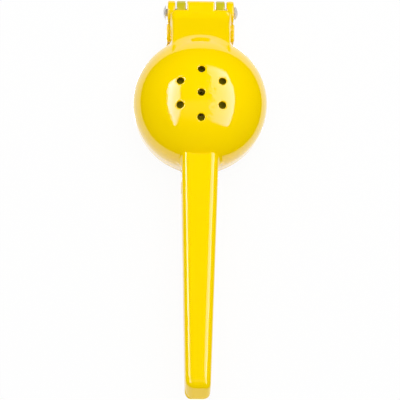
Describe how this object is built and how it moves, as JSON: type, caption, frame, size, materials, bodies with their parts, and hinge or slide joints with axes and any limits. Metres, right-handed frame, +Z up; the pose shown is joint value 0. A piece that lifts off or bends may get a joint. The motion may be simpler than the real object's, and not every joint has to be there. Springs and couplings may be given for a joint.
{
  "type": "hinged lemon squeezer",
  "caption": "Hand-held two-in-one citrus squeezer: strainer bowl lever, nested lime cup and press lever swinging on one hinge pin.",
  "frame": {"origin": "under the middle of the closed squeezer, on the flat outer face of the press lever's handle, which is the face it lies on", "axes": "+Z up, towards the strainer bowl's crown; +Y along the handles towards the hinge; +X along the hinge pin towards its cap"},
  "size_m": [0.075, 0.2258, 0.0594],
  "materials": {
    "yellow_enamel": "gloss enamel on cast aluminium",
    "green_enamel": "gloss enamel on cast aluminium",
    "steel": "polished"
  },
  "bodies": {
    "strainer": {"lower_lever": "yellow_enamel"},
    "cup": {"lime_cup": "green_enamel"},
    "press": {"upper_lever": "yellow_enamel", "hinge_pin": "steel", "pin_cap": "steel"}
  },
  "joints": [
    {"name": "cup_hinge", "type": "hinge", "parent": "strainer", "child": "cup", "pos_m": [0, 0.10625, 0.012], "axis": [1, 0, 0], "range_deg": [0, 80]},
    {"name": "press_hinge", "type": "hinge", "parent": "cup", "child": "press", "pos_m": [0, 0.10625, 0.012], "axis": [1, 0, 0], "range_deg": [0, 80]}
  ]
}
